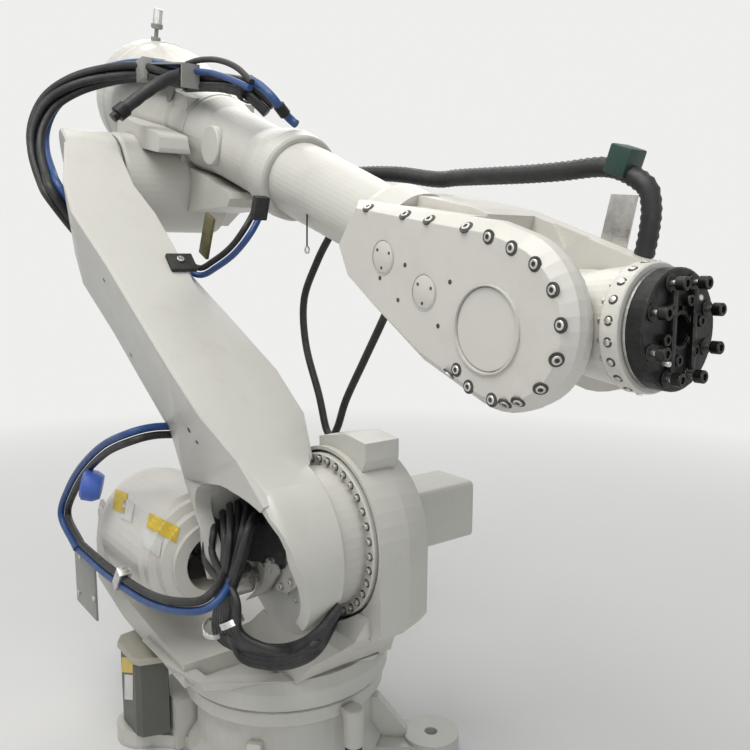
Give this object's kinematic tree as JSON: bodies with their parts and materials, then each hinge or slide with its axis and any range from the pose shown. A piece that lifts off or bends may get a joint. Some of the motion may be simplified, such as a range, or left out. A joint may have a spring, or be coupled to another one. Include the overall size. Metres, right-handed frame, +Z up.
{
  "type": "industrial robot arm",
  "caption": "Floor-standing articulated robot arm with a turntable, leaning lower arm, gas balancer, tapered upper arm, forked wrist and round tool flange.",
  "frame": {"origin": "on the floor, on the turntable's axis", "axes": "+Z up, +X forward along the arm's reach, +Y to the robot's left"},
  "size_m": [2.3179, 0.9299, 2.3272],
  "materials": {
    "foundry_white": "semi-gloss foundry-white paint on castings",
    "cover_white": "semi-gloss white paint on machined covers",
    "dark_grey_paint": "matt dark grey paint",
    "lid_beige": "matt beige paint",
    "steel": "machined steel",
    "black_oxide": "black oxide on steel",
    "bracket_grey": "grey paint on folded sheet steel",
    "black_rubber": "moulded rubber",
    "clear_lens": "clear moulded plastic"
  },
  "bodies": {
    "base": {"base_casting": "foundry_white", "connection_box": "dark_grey_paint", "connection_box_lid": "lid_beige", "stop_pin": "foundry_white", "stop_pin_end": "black_rubber"},
    "frame": {"turret_frame": "foundry_white", "shoulder_gearbox": "foundry_white", "shoulder_motor": "foundry_white", "balancer_pin": "steel"},
    "lower_arm": {"lower_arm_casting": "foundry_white", "balancer_rod_pin": "steel", "hub_flange": "foundry_white"},
    "balancer": {"balancer_cylinder": "cover_white"},
    "rod": {"balancer_rod": "steel"},
    "upper_arm": {"arm_housing": "foundry_white", "arm_neck": "foundry_white", "neck_cover": "foundry_white", "elbow_motor": "foundry_white", "roll_motor_case": "foundry_white", "hose_bracket": "bracket_grey", "beacon_stem": "bracket_grey", "beacon_collar": "bracket_grey", "beacon_lens": "clear_lens"},
    "wrist": {"arm_tube": "foundry_white", "wrist_housing": "cover_white", "wrist_side_cover": "cover_white", "wrist_round_plate": "cover_white", "hose_support_plate": "steel"},
    "tilt": {"tilt_housing": "cover_white"},
    "tool": {"tool_flange": "steel", "tool_adapter": "black_oxide"}
  },
  "joints": [
    {"name": "turntable", "type": "hinge", "parent": "base", "child": "frame", "pos_m": [0, 0, 0.282], "axis": [0, 0, 1], "range_deg": [-170, 170]},
    {"name": "shoulder", "type": "hinge", "parent": "frame", "child": "lower_arm", "pos_m": [0.32, -0.06, 0.78], "axis": [0, 1, 0], "range_deg": [-22.6, 127.4]},
    {"name": "elbow", "type": "hinge", "parent": "lower_arm", "child": "upper_arm", "pos_m": [-0.54311, -0.29, 1.72522], "axis": [0, -1, 0], "range_deg": [-8.2, 241.8]},
    {"name": "arm_roll", "type": "hinge", "parent": "upper_arm", "child": "wrist", "pos_m": [0.1185, 0, 1.70427], "axis": [0.9432, 0, -0.3322], "range_deg": [-300, 300]},
    {"name": "wrist_tilt", "type": "hinge", "parent": "wrist", "child": "tilt", "pos_m": [1.02541, 0, 1.3849], "axis": [0, 1, 0], "range_deg": [-99.9, 140.1]},
    {"name": "tool_turn", "type": "hinge", "parent": "tilt", "child": "tool", "pos_m": [1.23039, 0, 1.38741], "axis": [0.9999, 0, 0.0122], "range_deg": [-300, 300]},
    {"name": "balancer_pivot", "type": "hinge", "parent": "frame", "child": "balancer", "pos_m": [-0.56, -0.245, 0.655], "axis": [0, 1, 0], "range_deg": [-24, 5]},
    {"name": "rod_pivot", "type": "hinge", "parent": "lower_arm", "child": "rod", "pos_m": [0.18412, -0.245, 0.65593], "axis": [0, 1, 0], "range_deg": [-151.5, 27.5]}
  ],
  "couplings": [
    {"joint": "balancer_pivot", "follows": "shoulder", "ratio": -0.182},
    {"joint": "rod_pivot", "follows": "shoulder", "ratio": -1.182}
  ]
}
